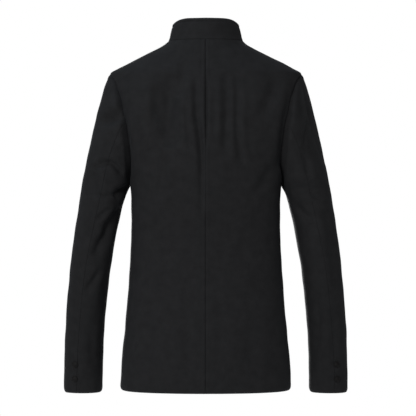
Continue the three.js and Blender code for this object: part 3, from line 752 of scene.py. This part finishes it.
def sleeve_panel(arm, half, side):
    columns = []
    for first, last, width in HALVES[half]:
        shares = stretch(width)[1 if columns else 0 :]
        columns.append(first[:, None] + (last - first)[:, None] * shares[None])
    degrees = np.concatenate(columns, axis=1)
    ring = np.broadcast_to(rings[:, None], degrees.shape)
    place, normal = on_sleeve(ring, degrees), sleeve_normal(ring, degrees)
    reach = np.ones(degrees.shape)
    place[0], seam_normal, reach[0] = armhole_seam(degrees[0])
    down = lengths(place, 0)
    normal = towards(normal, seam_normal[None], down, TURN_WIDTH)
    x, z, angle = place[..., 0], place[..., 2], np.radians(degrees)
    # The creases of the table lie behind the arm. Softer ones lie in front, a little lower
    behind = np.clip(np.sin(angle) * 2.2 + 0.1, 0, 1)
    before = np.clip(-np.sin(angle) * 2.2 - 0.3, 0, 1)
    settle = 1 - bell(down, SLEEVE_SETTLE_WIDTH)
    lift = crease_lift(arm, x, z) * behind * settle + 0.7 * crease_lift(arm, x + 6, z + 14) * before * settle
    lift += drift(x + 400, z, 3.3 + side) * settle
    head = np.clip(np.cos(angle) + 0.35, 0, 1)
    lift += HEAD_FULLNESS * head * bell(down - 7, 5) * (1 - bell(down, 3))
    valley, groove = armhole_depths(degrees[:1])
    lift -= valley * bell(down, SLEEVE_VALLEY_WIDTH)
    lift -= groove * bell(down, GROOVE_WIDTH)
    if half == "top":
        to_hind = lengths(place, 1)[:, -1:] - lengths(place, 1)
        vent = np.clip((rings - VENT_RING) / 0.12, 0, 1)[:, None]
        lift += VENT_LIFT * vent * np.clip((14 - to_hind) / 8, 0, 1)
    roll = EDGE_ROLL + SEAM_ROLL * reach[:1] * bell(down, SEAM_ROLL_WIDTH)
    to_cuff = down[-1:] - down
    lift -= hem_curl(to_cuff)
    return wall(f"{arm}_{half}_cloth", side, place, normal, reach, lift, HALF_CLOTH, to_cuff, roll)


sleeves = []
for arm, side in (("sleeve_left", 1), ("sleeve_right", -1)):
    sleeves += [sleeve_panel(arm, half, side) for half in HALVES]

# %% [markdown]
# The collar is one stiffened band, thicker than the body's cloth, and its top edge is softly rounded. A
# line of stitches runs below that edge, and it draws the layers together into a shallow groove.

# %% The collar
COLLAR_END = 178.88
COLLAR_HEIGHT = 44
HALF_COLLAR = 1.5
COLLAR_ROLL = 1.9
right_half = np.linspace(COLLAR_END, 0, 84)
around = np.concatenate([-right_half, right_half[-2::-1]])
heights = stretch(COLLAR_HEIGHT, 1.0)
degrees, height = np.meshgrid(around, heights)
place = on_collar(degrees, height)
normal = collar_normal(degrees, height)
reach = np.ones(degrees.shape)
_, seam_normal, seam_reach = neck_seam(np.abs(around))
sign = np.where(around < 0, -1, 1)[:, None] * np.array([1, 0, 0]) + np.array([0, 1, 1])
normal[0], reach[0] = seam_normal * sign, seam_reach
lift = 0.8 * drift(place[..., 0] * 1.4, place[..., 2], 0.6) * np.clip(height * 3, 0, 1)
to_top = lengths(place, 0)[-1:] - lengths(place, 0)
stitched = 0.5 + 0.8 * np.clip(np.cos(np.radians(degrees)), 0, 1) ** 2
lift += 0.35 * bell(to_top - 3.6, 2.4) - stitched * bell(to_top - 7.6, 1.6)
collar = wall("collar_cloth", 1, place, normal, reach, lift, HALF_COLLAR, to_top, COLLAR_ROLL)

# %% [markdown]
# The buttons are small domes with a rim and a sewing shank behind. The front ones and the cuff ones have
# the same shape at two sizes. One is turned out of a short cylinder: its top is inset and raised in steps
# for the rim and the dome, and its underside is inset and drawn out for the shank.

# %% One button, at the origin, facing +Z
FRONT_RADIUS, CUFF_RADIUS = 10.5, 6.5
# The steps of its top, on a front button: how far in, and how far up
RIM_AND_DOME = [
    (0.9, 0.15), (0.7, -0.35), (0.5, 0.15), (1.2, 0.95),
    (1.6, 0.75), (1.8, 0.5), (1.8, 0.28), (1.2, 0.08),
]
FLARE = 0.4


def select_only(*chosen):
    bpy.ops.object.select_all(action="DESELECT")
    for one in chosen:
        one.select_set(True)
    bpy.context.view_layer.objects.active = chosen[0]


def end_edit():
    """Turns the mesh's faces to the outside, and leaves edit mode."""
    bpy.ops.mesh.select_all(action="SELECT")
    bpy.ops.mesh.normals_make_consistent(inside=False)
    bpy.ops.object.mode_set(mode="OBJECT")


def select_faces(mesh, direction, level):
    """Selects only the flat faces that point up, 1, or down, -1, at that height."""
    bpy.ops.mesh.select_all(action="DESELECT")
    edit = bmesh.from_edit_mesh(mesh)
    for face in edit.faces:
        flat = face.normal.dot(Vector((0, 0, direction))) > 0.99
        face.select_set(flat and abs(face.calc_center_median().z - level) < 0.01 * MM)
    bmesh.update_edit_mesh(mesh)


def model_button(name, radius, shank, foot):
    """The shank has the radius shank and ends at the height foot. All are in millimetres."""
    scale = radius / FRONT_RADIUS
    bottom, height = 0.9 + 0.9 * scale, 1.2 * scale
    bpy.ops.mesh.primitive_cylinder_add(
        vertices=48, radius=radius * MM, depth=height * MM, location=(0, 0, (bottom + height / 2) * MM)
    )
    button = bpy.context.active_object
    button.name = name
    select_only(button)
    bpy.ops.object.transform_apply(location=True, rotation=True, scale=True)
    bpy.ops.object.mode_set(mode="EDIT")
    bpy.ops.mesh.select_mode(type="FACE")
    select_faces(button.data, 1, (bottom + height) * MM)
    for inset, rise in RIM_AND_DOME:
        bpy.ops.mesh.inset(thickness=inset * scale * MM, depth=rise * scale * MM)
    select_faces(button.data, -1, bottom * MM)
    bpy.ops.mesh.inset(thickness=1.6 * scale * MM, depth=0.5 * scale * MM)
    bpy.ops.mesh.inset(thickness=(8.9 * scale - shank - FLARE) * MM, depth=FLARE / 2 * MM)
    bpy.ops.mesh.inset(thickness=FLARE * MM, depth=FLARE / 2 * MM)
    drop = max(bottom - 0.5 * scale - FLARE - foot, 0.2)
    bpy.ops.mesh.extrude_region_move(TRANSFORM_OT_translate={"value": (0, 0, -drop * MM)})
    end_edit()
    bevel = button.modifiers.new("bevel", "BEVEL")
    bevel.width, bevel.segments, bevel.angle_limit = 0.16 * scale * MM, 2, math.radians(35)
    bpy.ops.object.modifier_apply(modifier="bevel")
    bpy.ops.object.shade_smooth_by_angle(angle=math.radians(50))
    zs = [v.co.z / MM for v in button.data.vertices]
    print(name, "faces:", len(button.data.polygons), "from", round(min(zs), 2), "to", round(max(zs), 2), "mm")
    return button


front_button = model_button("front_button", FRONT_RADIUS, 1.2, -2.7)
cuff_button = model_button("cuff_button", CUFF_RADIUS, 1.4, 0.15)

# %% [markdown]
# Each button stands on the cloth, square to it. A matrix holds its place and direction, and the mesh of
# each copy is moved by it, so every finished object itself stays at the origin.


# %% The nine buttons in their places
def cloth_frame(place, normal):
    """A matrix that lays +Z along the cloth's normal and +Y up the cloth."""
    across = unit(np.cross([0, 0, 1], normal))
    up = np.cross(normal, across)
    matrix = np.eye(4)
    matrix[:3, 0], matrix[:3, 1], matrix[:3, 2], matrix[:3, 3] = across, up, normal, place * MM
    return Matrix(matrix.tolist())


def copy_onto(model, name, matrix):
    copy = add_object(name, model.data.copy())
    copy.data.transform(matrix)
    return copy


FRONT_DROPS = [85, 188, 291, 394, 497]
CUFF_DROPS = [676, 707]
ON_TOP_CLOTH = LAP_LIFT + HALF_CLOTH
FROM_HIND_SEAM = 4.5
buttons = []
front_frames = []
for number, drop in enumerate(FRONT_DROPS, 1):
    place = on_body(np.array(math.pi), np.array(float(drop)))
    normal = body_normal(place)
    front_frames.append(cloth_frame(place + normal * ON_TOP_CLOTH, normal))
    buttons.append((copy_onto(front_button, f"button_{number}", front_frames[-1]), f"button_front_{number}"))

for arm, side in (("left", 1), ("right", -1)):
    for number, drop in enumerate(CUFF_DROPS, 1):
        ring = np.array(13 + (drop - 647) / 46)
        hind = sleeve(ring).hind
        degree = np.linalg.norm(on_sleeve(ring, hind) - on_sleeve(ring, hind - 1))
        degrees = hind - FROM_HIND_SEAM / degree
        place, normal = on_sleeve(ring, degrees), sleeve_normal(ring, degrees)
        matrix = cloth_frame((place + normal * HALF_CLOTH) * [side, 1, 1], normal * [side, 1, 1])
        copy = copy_onto(cuff_button, f"cuff_button_{arm}_{number}", matrix)
        buttons.append((copy, f"button_cuff_{arm}_{number}"))
for model in (front_button, cuff_button):
    bpy.data.objects.remove(model)
print("buttons:", len(buttons))

# %% [markdown]
# A buttonhole is a slit whose edges are oversewn with thick thread. The slits are cut through the left
# front with a boolean, and a ring of thread lies around each. The ring starts as a torus: its two halves
# are moved apart, and each point is then laid on the cloth's own curve.

# %% The five buttonholes
HOLE_LENGTH, HOLE_HEIGHT, HOLE_PAST, CUT_DEPTH = 20, 1.5, 2.2, 12
HOLE_MIDDLE = HOLE_LENGTH / 2 - HOLE_PAST
RING_RADIUS, THREAD_RADIUS, RING_LEVEL = 1.35, 0.55, 2.35
left_front = fronts[0]
cutters = []
for matrix in front_frames:
    bpy.ops.mesh.primitive_cube_add(size=1)
    cutter = bpy.context.active_object
    middle = Matrix.Translation((HOLE_MIDDLE * MM, 0, 0))
    size = Matrix.Diagonal((HOLE_LENGTH * MM, HOLE_HEIGHT * MM, CUT_DEPTH * MM, 1))
    cutter.data.transform(matrix @ middle @ size)
    cutters.append(cutter)
select_only(*cutters)
bpy.ops.object.join()
cutter = bpy.context.active_object
select_only(left_front)
slits = left_front.modifiers.new("slits", "BOOLEAN")
slits.operation, slits.solver, slits.object = "DIFFERENCE", "EXACT", cutter
bpy.ops.object.modifier_apply(modifier="slits")
bpy.data.objects.remove(cutter)
print("left front with its slits:", len(left_front.data.polygons), "faces")

threads = []
for number, drop in enumerate(FRONT_DROPS, 1):
    bpy.ops.mesh.primitive_torus_add(
        major_segments=64, minor_segments=10, major_radius=RING_RADIUS * MM, minor_radius=THREAD_RADIUS * MM
    )
    thread = bpy.context.active_object
    thread.name = f"buttonhole_{number}"
    bpy.ops.object.mode_set(mode="EDIT")
    bpy.ops.mesh.select_mode(type="VERT")
    for way in (1, -1):
        bpy.ops.mesh.select_all(action="DESELECT")
        edit = bmesh.from_edit_mesh(thread.data)
        for vertex in edit.verts:
            vertex.select_set(way * vertex.co.x > 1e-6)
        bmesh.update_edit_mesh(thread.data)
        bpy.ops.transform.translate(value=(way * (HOLE_LENGTH / 2 - 0.8) * MM, 0, 0))
    bpy.ops.object.mode_set(mode="OBJECT")
    co = np.array([v.co for v in thread.data.vertices]) / MM
    place = in_front(co[:, 0] + HOLE_MIDDLE, drop - co[:, 1])
    laid = place + body_normal(place) * (RING_LEVEL + co[:, 2:3])
    thread.data.vertices.foreach_set("co", (laid * MM).ravel())
    bpy.ops.object.mode_set(mode="EDIT")
    end_edit()
    bpy.ops.object.shade_smooth()
    threads.append(thread)
print("buttonhole rings:", len(threads))

# %% [markdown]
# Black wool is close to the darkest cloth there is, but never a flat black. It takes the light softly and
# turns a little paler where it curves away, which is the sheen of its fine fibres. The weave is a fine
# twill with diagonal ribs. One small function adds a node, sets it and links it, and serves every finish.
# The short ones after it make the noise, bands, tones, mixes and bumps that the finishes repeat.


# %% Colours and nodes
def colour(code):
    channels = [int(code[k : k + 2], 16) / 255 for k in (1, 3, 5)]
    return [c / 12.92 if c <= 0.04045 else ((c + 0.055) / 1.055) ** 2.4 for c in channels] + [1]


def node(material, kind, inputs=None, **settings):
    made = material.node_tree.nodes.new("ShaderNode" + kind)
    for name, value in settings.items():
        setattr(made, name, value)
    for name, value in (inputs or {}).items():
        if isinstance(value, bpy.types.NodeSocket):
            material.node_tree.links.new(value, made.inputs[name])
        else:
            made.inputs[name].default_value = value
    return made


def new_finish(name):
    material = bpy.data.materials.new(name)
    material.use_nodes = True
    material.node_tree.nodes.clear()
    return material


def finish_with(material, inputs):
    shader = node(material, "BsdfPrincipled", inputs)
    node(material, "OutputMaterial", {"Surface": shader.outputs["BSDF"]})


def noise(material, vector, scale, **inputs):
    made = node(material, "TexNoise", {"Vector": vector, "Scale": scale, **inputs})
    return made.outputs["Fac"]


def ramp(material, factor, low, high, start=0, end=1):
    """The colour low up to the factor start, and high from end on."""
    made = node(material, "ValToRGB", {"Fac": factor})
    for element, position, code in zip(made.color_ramp.elements, (start, end), (low, high)):
        element.position, element.color = position, colour(code)
    return made.outputs["Color"]


def mix(material, factor, first, second, **settings):
    made = node(material, "Mix", {0: factor, 6: first, 7: second}, data_type="RGBA", **settings)
    return made.outputs[2]


def bump(material, height, strength, depth_mm):
    made = node(material, "Bump", {"Height": height, "Strength": strength, "Distance": depth_mm * MM})
    return made.outputs["Normal"]


def bands(material, vector, spacing_mm, direction, distortion):
    scale = 0.2 * math.pi / (spacing_mm * MM)
    inputs = {"Vector": vector, "Scale": scale, "Distortion": distortion, "Detail": 1}
    made = node(material, "TexWave", inputs, wave_type="BANDS", bands_direction=direction)
    return made.outputs["Fac"]


# %% [markdown]
# The twill's ribs are about half a millimetre apart on the real cloth. They are drawn at 1.1 mm, because
# finer ones can't be seen from here. Along the free edges the cloth is rubbed a touch paler, and the
# inside has a plain black lining, which is smoother.

# %% Wool: woven worsted, dyed black, lightly pressed
RIB_MM, FUZZ_MM = 1.1, 1.6
wool = new_finish("black_worsted_twill")
cloth_map = node(wool, "UVMap", uv_map="cloth").outputs["UV"]
ribs = bands(wool, cloth_map, math.sqrt(2) * RIB_MM, "DIAGONAL", 0.6)
fuzz = noise(wool, cloth_map, 1 / (FUZZ_MM * MM), Detail=3, Roughness=0.65)
mottle = noise(wool, node(wool, "TexCoord").outputs["Object"], 60, Detail=4, Roughness=0.6)
relief = node(wool, "Math", {0: fuzz, 1: 1.4, 2: ribs}, operation="MULTIPLY_ADD").outputs["Value"]
rub, inside = (node(wool, "Attribute", attribute_name=name).outputs["Fac"] for name in ("rub", "inside"))
dyed = ramp(wool, mottle, "#161617", "#1b1b1c", 0.3, 0.7)
woven = mix(wool, 0.35, dyed, ramp(wool, relief, "#000000", "#ffffff"), blend_type="MULTIPLY")
rubbed = mix(wool, rub, woven, colour("#242527"))
lined = mix(wool, inside, rubbed, colour("#141416"))
roughness = node(wool, "MapRange", {"Value": inside, "To Min": 0.82, "To Max": 0.5}).outputs["Result"]
finish_with(wool, {
    "Base Color": lined,
    "Roughness": roughness,
    "Specular IOR Level": 0.08,
    "Sheen Weight": 0.02,
    "Sheen Roughness": 0.45,
    "Sheen Tint": colour("#c9d0dc"),
    "Normal": bump(wool, relief, 0.5, 0.05),
})
print("wool nodes:", len(wool.node_tree.nodes))

# %% [markdown]
# The buttons are moulded from a hard black resin that is made to look like horn. It has a satin polish,
# with faint smoky streaks that run across the button. The buttonholes are sewn with a waxed black silk
# twist, which shows as close short ribs.

# %% Resin: hard black resin like horn, moulded, with a satin polish
resin = new_finish("satin_black_resin")
place_on_piece = node(resin, "TexCoord").outputs["Object"]
drawn_out = node(resin, "Mapping", {"Vector": place_on_piece, "Scale": (1, 1, 3)}).outputs["Vector"]
streaks = noise(resin, drawn_out, 210, Detail=4, Distortion=0.8)
scratches = noise(resin, place_on_piece, 1800, Detail=2)
polish = node(resin, "MapRange", {"Value": streaks, "To Min": 0.6, "To Max": 0.7}).outputs["Result"]
finish_with(resin, {
    "Base Color": ramp(resin, streaks, "#070708", "#12100f", 0.35, 0.75),
    "Roughness": polish,
    "IOR": 1.54,
    "Specular IOR Level": 0.1,
    "Normal": bump(resin, scratches, 0.15, 0.02),
})

# %% Thread: silk twist, dyed black and waxed
STITCH_MM = 0.9
twist = new_finish("black_silk_twist")
stitches = bands(twist, node(twist, "TexCoord").outputs["Object"], STITCH_MM, "X", 0.8)
finish_with(twist, {
    "Base Color": ramp(twist, stitches, "#101113", "#2a2c30"),
    "Roughness": 0.55,
    "Specular IOR Level": 0.35,
    "Sheen Weight": 0.1,
    "Normal": bump(twist, stitches, 0.8, 0.15),
})
print("finishes:", wool.name, resin.name, twist.name)

# %% [markdown]
# Each piece now gets its finish and stands for its solid in the imported model.

# %% What each piece is, and what it stands for
panels = backs + fronts + sleeves + [collar]
for piece in panels:
    node_name = piece.name.removesuffix("_cloth")
    piece.data.materials.append(wool)
    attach(piece, "root")
    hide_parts(node_name)
for piece, node_name in buttons:
    piece.data.materials.append(resin)
    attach(piece, "root")
    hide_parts(node_name)
for thread in threads:
    thread.data.materials.append(twist)
    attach(thread, "root")
triangles = sum(len(p.vertices) - 2 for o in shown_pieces() for p in o.data.polygons if not o.hide_render)
print("pieces:", len(panels) + len(buttons) + len(threads), "triangles:", triangles)

# %% [markdown]
# The photograph has a white ground and soft light, with the stronger side at the upper left. A white
# world gives the ground and the even light. The camera sees it at full strength, but it lights the cloth
# at less than half of that, so that the large lamp behind the camera's left shoulder still gives the form.
# A faint cool lamp above tints that shoulder, and a low one in front serves the views of the front. The
# floor is pale, and it lies below the hem, out of the picture.

# %% Light
WORLD_ON_CLOTH, WORLD_SEEN = 0.4, 1.0
scene = bpy.context.scene
scene.view_settings.view_transform = "Standard"
world = bpy.data.worlds.new("studio")
scene.world = world
world.use_nodes = True
ground = world.node_tree.nodes["Background"]
ground.inputs["Color"].default_value = (1, 1, 1, 1)
seen = node(world, "LightPath").outputs["Is Camera Ray"]
strength = node(world, "MapRange", {"Value": seen, "To Min": WORLD_ON_CLOTH, "To Max": WORLD_SEEN})
world.node_tree.links.new(strength.outputs["Result"], ground.inputs["Strength"])


def lamp(name, place, target, size, power, tone="#ffffff"):
    data = bpy.data.lights.new(name, "AREA")
    data.color = colour(tone)[:3]
    data.shape, data.size, data.energy = "DISK", size, power
    made = add_object(name, data)
    made.location = place
    made.rotation_euler = (Vector(target) - Vector(place)).to_track_quat("-Z", "Y").to_euler()


MIDDLE_OF_JACKET = (0, 0, -0.35)
lamp("key", (2.0, 5.0, 1.4), MIDDLE_OF_JACKET, 1.9, 214)
lamp("top", (1.0, 0.3, 2.3), (0, 0, 0), 1.2, 26, "#d6edff")
lamp("front", (0.9, -4.8, 0.1), MIDDLE_OF_JACKET, 2.2, 190)
print("lamps:", [light.name for light in bpy.data.lights])

# %% Floor: matt white paper with a faint fibre
FLOOR_LEVEL, FLOOR_RADIUS, FLOOR_SHIFT = -1.0, 3.5, 1.9
bpy.ops.mesh.primitive_circle_add(vertices=128, radius=FLOOR_RADIUS, fill_type="NGON", location=(0, 0, 0))
floor = bpy.context.active_object
floor.name = "floor"
floor.data.transform(Matrix.Translation((0, FLOOR_SHIFT, FLOOR_LEVEL)))
paper = new_finish("matt_white_paper")
fibres = noise(paper, node(paper, "TexCoord").outputs["Object"], 900, Detail=3)
finish_with(paper, {"Base Color": ramp(paper, fibres, "#e9e9e8", "#f3f3f2"), "Roughness": 0.9})
floor.data.materials.append(paper)
floor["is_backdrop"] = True
